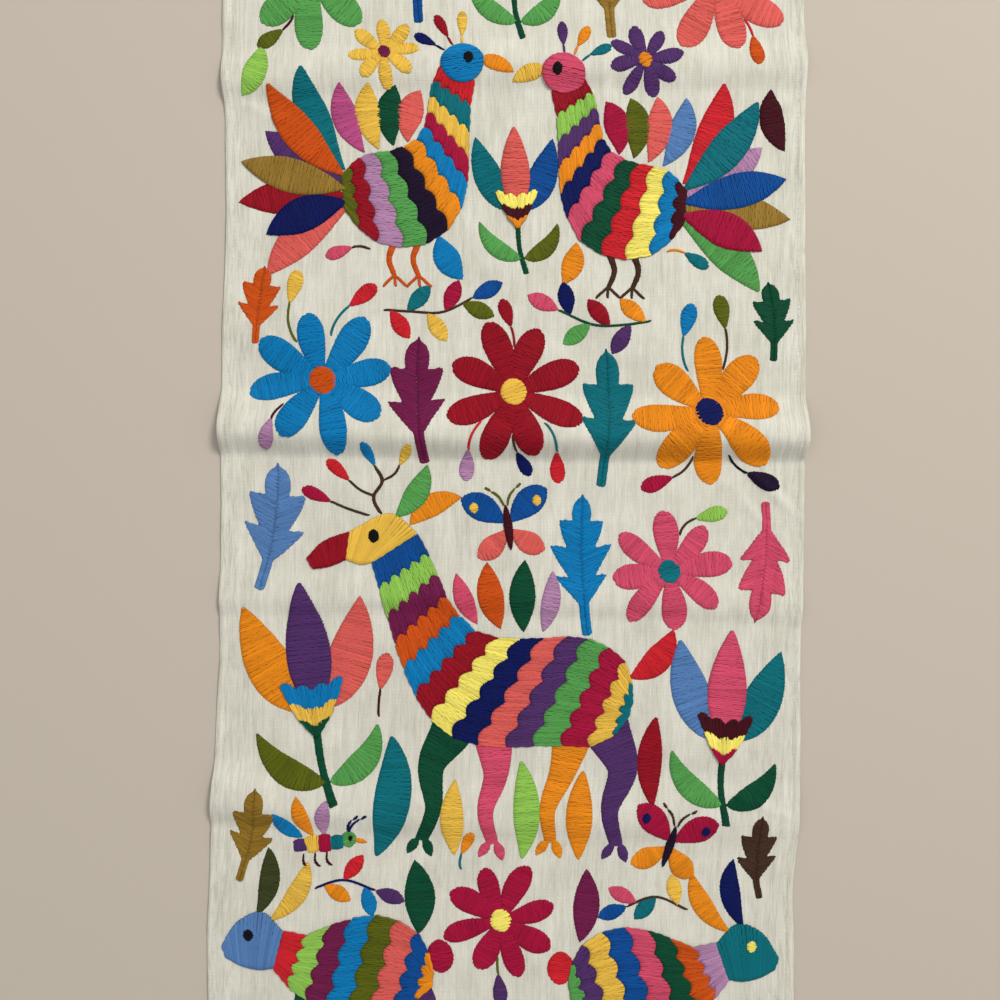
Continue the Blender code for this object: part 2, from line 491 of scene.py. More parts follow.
def daisy(centre, radius, yarn, heart, turn):
    """Round-ended petals about a small heart."""
    plump, heart_share = 0.40, 0.19
    centre = np.asarray(centre, float)
    made = []
    for k in range(PETALS):
        out = heading(turn + 360.0 * k / PETALS)
        long = radius * (1.0 + 0.06 * sin(2.4 * k + turn))
        bend = 0.06 * sin(1.7 * k + 0.3 * turn)
        wide = radius * (plump + 0.03 * sin(3.1 * k + turn))
        root = centre + out * radius * heart_share * 0.8
        made += petal(root, centre + out * long, wide, yarn, bend)
    return made + disc(centre, radius * heart_share, heart, turn=20, lift=0.5 * LAYER)


def notch_sprig(flower, row):
    """A sprig that comes out from between two petals of a daisy."""
    way = flower.turn + 360.0 * (row.notch + 0.5) / PETALS
    x, y = np.array((flower.x, flower.y)) + heading(way) * flower.radius * NOTCH_OUT
    return sprig(x, y, way, row.long, row.curl, row.stem, row.bud, row.size)


PetalRow = namedtuple("PetalRow", "root_x tip_x tip_y bend")
TALL_PETALS = (
    PetalRow(-0.13, -0.50, 0.98, 0.05),
    PetalRow(0.0, 0.0, 1.12, 0.0),
    PetalRow(0.13, 0.50, 0.94, -0.05),
)
CupRow = namedtuple("CupRow", "wide high narrow low scallops")
CUP_ROWS = (
    CupRow(0.27, 0.26, 0.20, 0.10, 4),
    CupRow(0.20, 0.10, 0.13, -0.04, 3),
    CupRow(0.13, -0.04, 0.05, -0.14, 2),
)


def tall_flower(place, turn, size, petals, cup, leaves, stem="deep_green"):
    """Three pointed petals over a scalloped cup, on a stem with two leaves."""
    made = []
    for yarn, row in zip(petals, TALL_PETALS):
        lift = 0.0 if row.root_x else LAYER
        root, tip = (row.root_x, 0.04), (row.tip_x, row.tip_y)
        made += blade(root, tip, 0.38, yarn, row.bend, belly=0.8, point=0.8, lift=lift)
    sag = 0.07
    for yarn, row in zip(cup, CUP_ROWS):
        inner = [(-row.narrow, row.low), (0, row.low - sag), (row.narrow, row.low)]
        outer = [(-row.wide, row.high), (0, row.high - sag), (row.wide, row.high)]
        made += strip(inner, outer, yarn, row.scallops, depth=0.05, lift=2.0 * LAYER)
    made += limb([(0, -0.12), (0.02, -0.47), (0.10, -0.79)], [0.07, 0.06, 0.075], stem)
    made += blade((0.04, -0.59), (-0.50, -0.10), 0.23, leaves[0], bend=0.16, belly=0.8, point=0.8)
    made += blade((0.08, -0.59), (0.52, -0.15), 0.23, leaves[1], bend=-0.18, belly=0.8, point=0.8)
    return moved(made, place, turn, size)


# %% [markdown]
# ## Animals
#
# The deer, birds and rabbits are bodies cut into scalloped bands, with limbs, ears, feathers and a head sewn
# against them. The small creatures are wings and blocks of colour. They are general beasts of this kind of
# needlework, drawn here from a few points each. The banded ones face +X until they are mirrored.

# %% Deer
LimbRow = namedtuple("LimbRow", "points widths")
DEER_BACK = [(-80, -14), (-76, 14), (-48, 31), (-8, 30), (24, 32), (46, 50), (60, 78), (72, 102)]
DEER_BELLY = [(-78, -22), (-58, -43), (-18, -44), (20, -46), (54, -34), (78, 2), (92, 42), (104, 82)]
DEER_LEGS = (
    LimbRow([(-62, -32), (-74, -60), (-66, -88), (-72, -114)], [34, 21, 12, 9]),
    LimbRow([(-38, -40), (-32, -64), (-23, -88), (-26, -112)], [27, 18, 11, 8]),
    LimbRow([(16, -42), (14, -66), (20, -90), (14, -114)], [27, 17, 11, 8]),
    LimbRow([(46, -36), (59, -60), (56, -88), (64, -112)], [30, 19, 11, 9]),
)


def deer(bands, legs, head, ears, tail, antler):
    """A banded deer, about 250 mm from tail to muzzle."""
    made = banded(DEER_BACK, DEER_BELLY, bands, scallops=5, depth=4.5)
    for row, yarn in zip(DEER_LEGS, legs):
        made += limb(row.points, row.widths, yarn)
        foot = np.array(row.points[-1], float)
        made += blade(foot + (-2, 2), foot + (-8, -11), 7, yarn, point=0.7)
        made += blade(foot + (2, 2), foot + (9, -9), 7, yarn, point=0.7)
    crown, jaw = [(72, 102), (92, 116), (120, 103)], [(104, 82), (112, 80), (122, 83)]
    nose, chin = [(120, 103), (138, 96), (150, 84)], [(122, 83), (134, 78), (145, 76)]
    made += strip(crown, jaw, head[0], lift=LAYER) + strip(nose, chin, head[1], lift=LAYER)
    made += disc((103, 100), 4.0, head[2], lift=1.2)
    made += blade((78, 108), (42, 128), 16, ears[0], bend=-0.12, point=0.8)
    made += blade((88, 114), (66, 150), 16, ears[1], bend=0.1, point=0.8, lift=LAYER)
    made += blade((-78, 4), (-108, 38), 19, tail, bend=0.14, point=0.8)
    made.append(Cord(smooth([(98, 115), (104, 127), (97, 138), (102, 148)]), antler[0], 3.0))
    made += bud([(103, 128), (113, 132), (121, 139)], antler[0], 20, antler[1])
    made += bud([(97, 139), (89, 143), (85, 150)], antler[0], 16, antler[2])
    made += bud([(100, 144), (103, 150)], antler[0], 17, antler[3])
    made += bud([(106, 114), (122, 119), (134, 124)], antler[0], 21, antler[4])
    return made


# %% Bird
BIRD_BACK = [(-46, 14), (-30, 32), (-2, 38), (18, 48), (26, 68), (30, 90), (38, 106)]
BIRD_BREAST = [(-44, -10), (-22, -36), (14, -42), (44, -26), (58, 6), (60, 44), (62, 76), (66, 96)]


def bird(bands, feathers, wing, head, crest, legs):
    """A banded bird with its tail fanned behind it."""
    made = banded(BIRD_BACK, BIRD_BREAST, bands, scallops=4, depth=4.2)
    for k, yarn in enumerate(feathers):
        share = k / (len(feathers) - 1)
        out = heading(112 + 109 * share)
        root = np.array((-42 + 2 * share, 20 - 30 * share))
        long = 92 + 10 * sin(2.2 * k) - 10 * share
        bend = 0.10 - 0.18 * share
        lift = LAYER * (k % 2)
        made += blade(root, root + out * long, 29, yarn, bend, belly=1.1, point=0.85, lift=lift)
    for k, yarn in enumerate(wing):
        root = np.array((-26 + 12 * k, 35 + 3 * k))
        tip = root + heading(109 - 11 * k) * (60 - 5 * k)
        made += blade(root, tip, 22, yarn, bend=0.10, belly=1.15, point=0.8)
    made += disc((56, 110), 18, head[0], radius_y=15, turn=10, lift=1.2)
    made += disc((61, 113), 4.2, head[1], lift=1.8)
    made += blade((71, 113), (98, 103), 13, head[2], bend=0.06, belly=0.8, point=0.7)
    for way, yarn in zip((146, 112, 80), crest):
        start = np.array((53.0, 112.0)) + heading(way) * 14
        made += bud([start, start + heading(way) * 8 + (-1, 1)], yarn, 19, yarn, way + 8, plump=0.46)
    for x in (-2, 18):
        made += limb([(x, -38), (x - 4, -52), (x + 1, -66)], [6, 4.5, 4], legs)
        for toe in (-10, 1, 11):
            path = smooth([(x + 1, -65), (x + 1 + toe * 0.6, -71), (x + 1 + toe, -75)])
            made.append(Cord(path, legs, 2.6))
    return made


# %% Rabbit
RABBIT_BACK = [(-46, -12), (-42, 12), (-20, 28), (6, 28), (28, 22), (44, 26)]
RABBIT_BELLY = [(-44, -20), (-26, -30), (0, -29), (26, -26), (44, -12), (54, 4)]
RABBIT_LEGS = (
    LimbRow([(-34, -22), (-38, -36), (-22, -50)], [20, 12, 7]),
    LimbRow([(-16, -27), (-12, -40), (2, -50)], [16, 10, 6]),
    LimbRow([(18, -24), (20, -38), (32, -50)], [14, 9, 6]),
    LimbRow([(36, -16), (44, -32), (58, -44)], [14, 9, 6]),
)


def rabbit(bands, head, ears, legs, tail):
    """A banded rabbit, about 150 mm long."""
    made = banded(RABBIT_BACK, RABBIT_BELLY, bands, scallops=4, depth=3.6)
    crown, jaw = [(44, 26), (56, 40), (72, 36), (84, 22)], [(54, 4), (64, 4), (74, 8), (82, 14)]
    made += strip(crown, jaw, head[0], lift=LAYER)
    made += disc((66, 27), 3.2, head[1], lift=1.2)
    made += blade((52, 34), (24, 68), 13, ears[0], bend=0.12, belly=1.1, point=0.75)
    made += blade((60, 38), (48, 80), 13, ears[1], bend=0.1, belly=1.1, point=0.75)
    for row, yarn in zip(RABBIT_LEGS, legs):
        made += limb(row.points, row.widths, yarn)
    made += disc((-52, -2), 8.5, tail, radius_y=10)
    return made


# %% Butterfly and bee
def butterfly(wings, body, feelers):
    """A butterfly seen from above, its head towards +Y."""
    made = []
    for side in (-1, 1):
        made += blade((side * 3, 4), (side * 42, 32), 27, wings[0], side * 0.05, belly=1.3, point=0.6)
        made += blade((side * 3, -3), (side * 33, -26), 22, wings[1], -side * 0.08, belly=1.3, point=0.6)
        made += disc((side * 31, 22), 4.6, wings[2], lift=LAYER)
        made += bud([(side * 1.5, 20), (side * 5, 30), (side * 12, 36)], feelers, 7, feelers)
    return made + blade((0, -24), (0, 22), 9, body, point=0.7, lift=LAYER)


def bee(blocks, wings, legs, head, feelers):
    """A small winged creature in blocks of colour."""
    made = []
    block = 12.5
    for k, (yarn, high) in enumerate(zip(blocks, (14, 19, 20, 16))):
        x = -24 + block * k
        made += limb([(x, 0), (x + 6, 1), (x + block, 1)], [high * 0.8, high, high * 0.86], yarn)
    front = -24 + block * len(blocks)
    made += disc((front + 6, 3), 8, head[0])
    made += disc((front + 8, 4), 2.4, head[1], lift=LAYER)
    made += blade((front + 12, 2), (front + 24, -2), 5, head[2], point=0.7)
    for k, (yarn, way, long) in enumerate(zip(wings, (134, 108, 82), (40, 46, 37))):
        root = np.array((-14 + 11 * k, 9.0))
        made += blade(root, root + heading(way) * long, 16, yarn, bend=0.08, belly=1.1, point=0.8)
    for k in range(3):
        x = -14 + 12 * k
        made.append(Cord(smooth([(x, -8), (x - 2, -17), (x + 4, -23)]), legs, 2.0))
    for side in (0, 1):
        stem = [(front + 6, 10), (front + 7 + 5 * side, 20), (front + 12 + 8 * side, 24)]
        made += bud(stem, feelers, 7, feelers)
    return made


# %% [markdown]
# ## Laying the motifs out
#
# On such a cloth a few large figures have flowers, leaves and buds in every gap. Stitches cover about
# six tenths of the ground in the photo, and a little less here. The tables below hold a row for each
# motif, in millimetres on the straight panel.

# %% Where everything goes
DaisyRow = namedtuple("DaisyRow", "x y radius yarn heart turn")
DAISIES = {
    "left": DaisyRow(-131, 80, 49, "sky", "burnt_orange", 12),
    "right": DaisyRow(133, 62, 50, "orange", "navy", 4),
    "middle": DaisyRow(0, 74, 48, "crimson", "gold", 22),
    "haunch": DaisyRow(108, -47, 41, "rose", "teal", 8),
    "top left": DaisyRow(-139, 359, 50, "green", "maroon", 0),
    "top right": DaisyRow(139, 357, 50, "coral", "violet", 16),
    "foot": DaisyRow(2, -396, 42, "burnt_orange", "violet", 10),
    "between rabbits": DaisyRow(0, -288, 39, "magenta", "lemon", 18),
    "small left": DaisyRow(-89, 305, 24, "gold", "plum", 6),
    "small right": DaisyRow(89, 302, 25, "violet", "orange", 14),
}

FlowerRow = namedtuple("FlowerRow", "x y turn size petals cup leaves")
FLOWERS = (
    FlowerRow(1, 197, 2, 53, ("teal", "coral", "blue"), ("lemon", "maroon", "orange"), ("green", "olive")),
    FlowerRow(-133, -148, 8, 81, ("orange", "violet", "coral"), ("sky", "gold", "deep_green"),
              ("olive", "green")),
    FlowerRow(147, -164, -4, 70, ("steel", "rose", "teal"), ("maroon", "lemon", "magenta"),
              ("green", "deep_green")),
    FlowerRow(0, 364, 0, 60, ("crimson", "coral", "gold"), ("teal", "olive", "rose"), ("green", "green")),
)

ToothedRow = namedtuple("ToothedRow", "x y tip_x tip_y width yarn lobes bend")
TOOTHED_LEAVES = (
    ToothedRow(-177, 104, -172, 158, 30, "burnt_orange", 3, 0.02),
    ToothedRow(178, 98, 174, 153, 30, "deep_green", 3, -0.03),
    ToothedRow(-60, 24, -65, 112, 42, "plum", 3, 0.04),
    ToothedRow(60, 10, 63, 106, 40, "teal", 3, -0.03),
    ToothedRow(53, -92, 48, 6, 42, "sky", 4, 0.03),
    ToothedRow(173, 2, 167, -82, 37, "rose", 3, 0.04),
    ToothedRow(-173, -64, -161, 24, 44, "steel", 3, -0.04),
    ToothedRow(-180, -264, -170, -198, 32, "mustard", 3, -0.04),
    ToothedRow(177, -270, 175, -212, 28, "brown", 3, 0.05),
    ToothedRow(67, 318, 62, 404, 40, "ochre", 3, 0.0),
    ToothedRow(-65, 326, -60, 408, 40, "blue", 3, 0.04),
    ToothedRow(-172, -426, -164, -354, 36, "red", 3, 0.03),
    ToothedRow(173, -430, 168, -364, 34, "teal", 3, -0.03),
)

LeafRow = namedtuple("LeafRow", "x y tip_x tip_y width yarn bend")
LEAVES = (
    LeafRow(-33, -244, -35, -192, 16, "gold", 0.04),
    LeafRow(13, -246, 9, -178, 18, "light_green", -0.05),
    LeafRow(52, -246, 52, -184, 18, "orange", 0.03),
    LeafRow(-87, -246, -80, -162, 25, "teal", -0.08),
    LeafRow(100, -208, 101, -146, 17, "crimson", 0.06),
    LeafRow(-56, -298, -60, -248, 21, "deep_green", -0.05),
    LeafRow(54, -302, 58, -252, 18, "plum", -0.05),
    LeafRow(-7, -88, -17, -43, 18, "burnt_orange", 0.05),
    LeafRow(9, -90, 9, -41, 18, "deep_green", 0.03),
    LeafRow(-23, -85, -38, -51, 13, "rose", 0.05),
    LeafRow(22, -90, 28, -48, 13, "lilac", -0.05),
    LeafRow(-36, 151, -53, 180, 18, "sky", 0.08),
    LeafRow(33, 149, 42, 177, 15, "orange", -0.08),
    LeafRow(-187, 274, -173, 308, 16, "light_green", -0.1),
    LeafRow(186, 242, 176, 284, 17, "maroon", 0.1),
)

SprigRow = namedtuple("SprigRow", "x y way long curl stem bud size")
SPRIGS = (
    SprigRow(-89, -150, 94, 20, -12, "maroon", "coral", 24),
    SprigRow(-28, -254, 110, 12, -40, "teal", "orange", 16),
    SprigRow(104, 172, 20, 14, -50, "orange", "teal", 18),
    SprigRow(-100, 170, 150, 14, 50, "brown", "rose", 18),
)

NotchRow = namedtuple("NotchRow", "flower notch long curl stem bud size")
NOTCH_SPRIGS = (
    NotchRow("left", 1, 26, -40, "teal", "red", 22),
    NotchRow("left", 2, 30, -46, "olive", "gold", 22),
    NotchRow("left", 4, 14, 40, "maroon", "lilac", 20),
    NotchRow("right", 1, 30, 30, "brown", "olive", 22),
    NotchRow("right", 2, 26, -40, "teal", "sky", 22),
    NotchRow("right", 5, 22, -50, "brown", "magenta", 22),
    NotchRow("right", 6, 20, 40, "black", "aubergine", 23),
    NotchRow("middle", 1, 16, 20, "crimson", "crimson", 19),
    NotchRow("middle", 4, 22, 40, "red", "lilac", 21),
    NotchRow("middle", 5, 12, 30, "brown", "navy", 18),
    NotchRow("middle", 6, 22, -40, "teal", "red", 21),
    NotchRow("haunch", 1, 18, -60, "brown", "light_green", 21),
    NotchRow("top left", 5, 14, -30, "maroon", "olive", 20),
    NotchRow("top right", 6, 14, -30, "red", "burnt_orange", 20),
    NotchRow("between rabbits", 5, 14, 10, "olive", "violet", 20),
)

BranchRow = namedtuple("BranchRow", "points stem leaves long")
BRANCHES = (
    BranchRow([(-90, 129), (-70, 128), (-49, 128), (-29, 138)], "brown",
              ("red", "teal", "gold", "magenta", "olive", "blue"), 23),
    BranchRow([(94, 124), (76, 121), (54, 121), (30, 131)], "deep_green",
              ("orange", "violet", "crimson", "green", "navy", "rose"), 23),
    BranchRow([(-128, -268), (-108, -262), (-86, -269)], "navy", ("orange", "red", "sky", "violet"), 21),
    BranchRow([(128, -279), (106, -270), (86, -277)], "brown", ("gold", "teal", "rose", "blue"), 21),
)

CreatureRow = namedtuple("CreatureRow", "parts place turn size")
BEE_BLOCKS = ("violet", "gold", "magenta", "teal")
CREATURES = (
    CreatureRow(bee(BEE_BLOCKS, ("sky", "orange", "lilac"), "maroon", ("green", "black", "orange"), "navy"),
                (-127, -238), 6, 0.67),
    CreatureRow(butterfly(("magenta", "orange", "navy"), "aubergine", "brown"), (113, -234), -12, 0.67),
    CreatureRow(butterfly(("blue", "coral", "gold"), "maroon", "olive"), (-3, -18), 8, 0.70),
)


def flat(lists):
    """Several lists of parts as one."""
    return [part for parts in lists for part in parts]


def panel_layout():
    """Every motif in its place, as a list of parts for each piece."""
    made = {}
    made["stitched_bird_left"] = moved(bird(
        ("olive", "crimson", "lilac", "green", "aubergine", "orange", "sky", "magenta", "gold", "teal",
         "red"),
        ("teal", "burnt_orange", "violet", "ochre", "crimson", "navy", "coral"),
        ("mauve", "gold", "deep_green", "coral"),
        ("sky", "black", "orange"), ("navy", "crimson", "gold"), "burnt_orange",
    ), (-82, 207), size=0.83)
    made["stitched_bird_right"] = moved(bird(
        ("maroon", "sky", "lemon", "red", "deep_green", "rose", "navy", "orange", "violet", "light_green",
         "crimson"),
        ("red", "teal", "lilac", "blue", "ochre", "magenta", "green"),
        ("steel", "coral", "olive", "magenta"),
        ("rose", "black", "gold"), ("teal", "orange", "violet"), "brown",
    ), (80, 201), size=0.83, mirror=True)
    made["stitched_deer"] = moved(deer(
        ("teal", "gold", "magenta", "green", "violet", "coral", "navy", "lemon", "crimson", "sky",
         "burnt_orange", "plum", "light_green", "blue"),
        ("violet", "orange", "rose", "deep_green"), ("gold", "crimson", "black"), ("orange", "green"), "red",
        ("brown", "red", "gold", "sky", "magenta"),
    ), (6, -124), size=0.98, mirror=True)
    made["stitched_rabbits"] = moved(rabbit(
        ("orange", "blue", "coral", "olive", "sky", "plum", "light_green", "red"),
        ("steel", "black"), ("gold", "grey_green"), ("violet", "teal", "rose", "deep_green"), "magenta",
    ), (-97, -319), turn=8, size=1.08, mirror=True)
    made["stitched_rabbits"] += moved(rabbit(
        ("green", "violet", "gold", "blue", "rose", "deep_green", "burnt_orange", "lilac"),
        ("teal", "lemon"), ("orange", "navy"), ("crimson", "sky", "maroon", "coral"), "red",
    ), (97, -324), turn=-6, size=1.08)
    made["stitched_small_creatures"] = flat(moved(*row) for row in CREATURES)
    made["stitched_daisies"] = flat(daisy((x, y), *rest) for x, y, *rest in DAISIES.values())
    made["stitched_flowers"] = flat(tall_flower((x, y), *rest) for x, y, *rest in FLOWERS)
    made["stitched_leaves"] = flat(toothed(row[:2], row[2:4], *row[4:]) for row in TOOTHED_LEAVES)
    made["stitched_sprigs"] = flat([
        *(blade(row[:2], row[2:4], *row[4:], point=0.8) for row in LEAVES),
        *(sprig(*row) for row in SPRIGS),
        *(notch_sprig(DAISIES[row.flower], row) for row in NOTCH_SPRIGS),
        *(branch(*row) for row in BRANCHES),
    ])
    return made


motifs = panel_layout()
print(f"{sum(len(parts) for parts in motifs.values())} columns and cords in {len(motifs)} pieces")

# %% [markdown]
# ## From columns to threads
#
# The shapes are filled with thread laid from edge to edge about 1.4 mm apart, and stems are short
# slanting stitches that overlap like a rope. The hand shows: threads lean in slow waves, so that thin dark
# gaps open between them, and their ends aren't quite in line. Every thread is a list of numbers
# here: its two ends on the panel, its width, height and lift, its sway from side to side, its tone, and
# its colour.

# %% Stitching
PITCH = 1.37
THREAD_WIDTH = 1.86
THREAD_HIGH = 0.60
LEAST_STITCH = 1.0
FAN_STEP = 10
LEAN = 0.45
LEAN_WIDE = 9.0
CROSS = 0.16
END_REACH = (0.02, 0.42)
SWAY = 0.31
SWAY_LENGTHS = (5.0, 8.0)
SWAY_STEP = 0.95
STEM_PITCH = 2.1
STEM_STITCH = 5.2

Threads = namedtuple("Threads", "start end width high lift sway wave phase tone yarn")


def slow_wave(count, draw):
    """A wander between about -1 and 1 that changes over some ten stitches."""
    steps = np.arange(count)
    first, second = draw.uniform(6.0, 9.0), draw.uniform(13.0, 21.0)
    start_1, start_2 = draw.uniform(0.0, 2.0 * pi, 2)
    quick = 0.6 * np.sin(steps * 2.0 * pi / first + start_1)
    return quick + 0.4 * np.sin(steps * 2.0 * pi / second + start_2)


def stitch_column(column, draw):
    """The threads that fill one column."""
    middle = (column.left + column.right) / 2.0
    long = max(way_along(curve[::FAN_STEP])[-1] for curve in (column.left, middle, column.right))
    count = max(2, int(round(long / PITCH)))
    share = (np.arange(count) + 0.5) / count
    tilt = LEAN * (slow_wave(count, draw) + draw.normal(0.0, 0.2, count))
    tilt = tilt + CROSS * (-1.0) ** np.arange(count)
    wide = np.hypot(*(at_share(column.left, share) - at_share(column.right, share)).T)
    lean = tilt * np.clip(wide / LEAN_WIDE, 0.2, 1.0) * PITCH / max(long, 1.0)
    start = at_share(column.left, share + lean)
    end = at_share(column.right, share - lean)
    run = end - start
    length = np.hypot(*run.T)
    keep = np.minimum(length, wide) > LEAST_STITCH
    start, end, run, length = start[keep], end[keep], run[keep], length[keep]
    count = len(start)
    along = run / length[:, None]
    start = start - along * draw.uniform(*END_REACH, count)[:, None]
    end = end + along * draw.uniform(*END_REACH, count)[:, None]
    return Threads(
        start,
        end,
        THREAD_WIDTH * draw.uniform(0.9, 1.1, count),
        THREAD_HIGH * draw.uniform(0.8, 1.15, count),
        np.full(count, column.lift) + draw.uniform(0.0, 0.12, count),
        SWAY * np.clip(length / 8.0, 0.0, 1.0),
        draw.uniform(*SWAY_LENGTHS, count),
        draw.uniform(0.0, 2.0 * pi) + np.cumsum(draw.normal(0.0, SWAY_STEP, count)),
        np.clip(draw.normal(0.5, 0.2, count), 0.0, 1.0),
        np.full(count, list(YARNS).index(column.yarn)),
    )


def stitch_cord(cord, draw):
    """The slanting stitches of one stem."""
    way = way_along(cord.path)
    count = max(2, int(round(way[-1] / STEM_PITCH)))
    begin = np.linspace(-0.15 * STEM_STITCH, way[-1] - 0.7 * STEM_STITCH, count)
    out = sideways(cord.path)

    def point(where, off):
        where = np.clip(where, 0.0, way[-1])
        return read(cord.path, way, where) + read(out, way, where) * off

    slant = 0.24 * cord.width
    return Threads(
        point(begin, -slant),
        point(begin + STEM_STITCH, slant),
        0.66 * cord.width * draw.uniform(0.9, 1.1, count),
        THREAD_HIGH * draw.uniform(0.9, 1.2, count),
        draw.uniform(0.0, 0.1, count),
        np.zeros(count),
        np.ones(count),
        np.zeros(count),
        np.clip(draw.normal(0.5, 0.18, count), 0.0, 1.0),
        np.full(count, list(YARNS).index(cord.yarn)),
    )


def joined(lists):
    """Several lists of threads as one."""
    return Threads(*[np.concatenate(parts) for parts in zip(*lists)])


# %% [markdown]
# ## Building many threads at once
#
# Thousands of threads can't be modelled by hand, and an object for each would be slow, so each piece is one
# mesh that is filled from arrays. A thread is a low four-sided tube: flat below, where it lies on the
# cloth, rounded above by smooth shading, and closed to a point at both ends where it dives into the weave.
# Longer threads get more rings, so that they follow the creases.

# %% Mesh arrays
CLOTH_THICK = 0.7
HEM_THICK = 1.35
# Each corner of a ring: across, up, and its rise, 1 on top and 0 at the sides, which get painted shade.
RING = ((-1.0, 0.0, 0.0), (-0.58, 0.88, 1.0), (0.58, 0.88, 1.0), (1.0, 0.0, 0.0))
RING_STEP = 2.5
DIVE = 0.45
TIP_DEPTH = 0.12
END_SIZE = 0.72
MOST_RINGS = 14
BACKING_ROW = 2.2
BACKING_CELL = 2.8
BACKING_ENDS = (0.012, 0.988)
BACKING_INSET = 0.15
BACKING_HIGH = 0.24
BACKING_LIFT = 0.95
# The backing's darker tone is painted shade for the gaps between threads.
BACKING_SHADED_TONE = 0.3


def on_cloth(x, y):
    """Points on the cloth's upper side and the directions out of it."""
    normal = outward(x, y)
    return lying(x, y) + normal * CLOTH_THICK, normal


def tube_arrays(threads, rings):
    """Vertices, faces, shading numbers and thread coordinates for threads that all have the same rings."""
    count = len(threads.start)
    length = np.hypot(*(threads.end - threads.start).T)
    first = np.clip(DIVE / length, 0.0, 0.3)[:, None]
    inner = first + (1.0 - 2.0 * first) * np.linspace(0.0, 1.0, rings)[None, :]
    share = np.concatenate([np.zeros((count, 1)), inner, np.ones((count, 1))], axis=1)
    run = threads.end - threads.start
    side = np.column_stack([-run[:, 1], run[:, 0]]) / length[:, None]
    place = threads.start[:, None] + run[:, None] * share[..., None]
    turn = share * (2.0 * pi * length / threads.wave)[:, None] + threads.phase[:, None]
    swing = threads.sway[:, None] * np.sin(turn) * np.sqrt(np.maximum(0.0, 4.0 * share * (1.0 - share)))
    place = place + side[:, None] * swing[..., None]
    top, normal = on_cloth(place[..., 0], place[..., 1])
    ahead = np.gradient(top, axis=1)
    across = np.cross(normal, ahead)
    across /= np.linalg.norm(across, axis=-1, keepdims=True)
    full = np.ones(rings)
    full[0] = full[-1] = END_SIZE
    ring = np.array(RING)
    half = (0.5 * threads.width[:, None] * full)[..., None, None]
    high = (threads.high[:, None] * full)[..., None, None]
    lift = threads.lift[:, None, None, None]
    body = top[:, 1:-1, None] - across[:, 1:-1, None] * half * ring[:, 0, None]
    body = body + normal[:, 1:-1, None] * (high * ring[:, 1, None] + lift)
    tips = top[:, [0, -1]] - normal[:, [0, -1]] * TIP_DEPTH
    sides = len(ring)
    points = np.concatenate([tips[:, :1], body.reshape(count, -1, 3), tips[:, 1:]], axis=1)
    each = rings * sides + 2
    rise = np.concatenate([[0.0], np.tile(ring[:, 2], rings), [0.0]])
    around = np.concatenate([[0.5], np.tile(np.arange(sides) / sides, rings), [0.5]])
    down = np.concatenate([share[:, :1], np.repeat(share[:, 1:-1], sides, axis=1), share[:, -1:]], axis=1)
    down = down * length[:, None]
    faces = []
    for k in range(sides):
        other = (k + 1) % sides
        faces.append((0, 1 + other, 1 + k, 1 + k))
        last = 1 + (rings - 1) * sides
        faces.append((last + k, last + other, each - 1, each - 1))
        for r in range(rings - 1):
            low, up = 1 + r * sides, 1 + (r + 1) * sides
            faces.append((low + k, low + other, up + other, up + k))
    faces = np.array(faces)[None] + (np.arange(count) * each)[:, None, None]
    return (
        points.reshape(-1, 3),
        faces.reshape(-1, 4),
        np.tile(rise, count),
        np.repeat(threads.tone, each),
        np.column_stack([down.reshape(-1), np.tile(around, count)]),
        np.repeat(threads.yarn, faces.shape[1]),
    )


def backing_arrays(column, yarn):
    """A thin sheet under a column. It stands for the threads below, and its colour carries painted shade, so
    that it shows dark in the gaps.
    """
    long = way_along((column.left + column.right) / 2.0)[-1]
    wide = np.hypot(*(column.right - column.left).T).max()
    rows = max(3, int(long / BACKING_ROW) + 1)
    cells = max(2, int(wide / BACKING_CELL) + 1)
    share = np.linspace(*BACKING_ENDS, rows)
    left, right = at_share(column.left, share), at_share(column.right, share)
    inset = BACKING_INSET / max(wide, 1.0)
    over = np.linspace(inset, 1.0 - inset, cells)[None, :, None]
    place = left[:, None] * (1.0 - over) + right[:, None] * over
    top, normal = on_cloth(place[..., 0], place[..., 1])
    points = (top + normal * (BACKING_HIGH + BACKING_LIFT * column.lift)).reshape(-1, 3)
    corner = (np.arange(rows - 1)[:, None] * cells + np.arange(cells - 1)).reshape(-1)
    faces = np.column_stack([corner, corner + 1, corner + cells + 1, corner + cells])
    count = len(points)
    return (
        points,
        faces,
        # No rise, so the whole sheet takes the full painted side shade.
        np.zeros(count),
        np.full(count, BACKING_SHADED_TONE),
        place.reshape(-1, 2),
        np.full(len(faces), yarn),
    )


def smooth_mesh(name, points, corners, sizes):
    """A smooth mesh out of points, the corners of its faces in turn, and how many corners each face has."""
    mesh = bpy.data.meshes.new(name)
    mesh.vertices.add(len(points))
    mesh.vertices.foreach_set("co", points.astype(np.float32).reshape(-1))
    mesh.loops.add(len(corners))
    mesh.loops.foreach_set("vertex_index", corners.astype(np.int32))
    mesh.polygons.add(len(sizes))
    mesh.polygons.foreach_set("loop_start", (np.cumsum(sizes) - sizes).astype(np.int32))
    mesh.update(calc_edges=True)
    mesh.polygons.foreach_set("use_smooth", np.ones(len(sizes), bool))
    return mesh


def finished(name, mesh, map_name, places, corners, materials):
    """The mesh as an object in the scene, with its UV map and its materials."""
    layer = mesh.uv_layers.new(name=map_name)
    layer.data.foreach_set("uv", places[corners].astype(np.float32).reshape(-1))
    for material in materials:
        mesh.materials.append(material)
    mesh.validate()
    mesh.update()
    item = bpy.data.objects.new(name, mesh)
    bpy.context.scene.collection.objects.link(item)
    return item


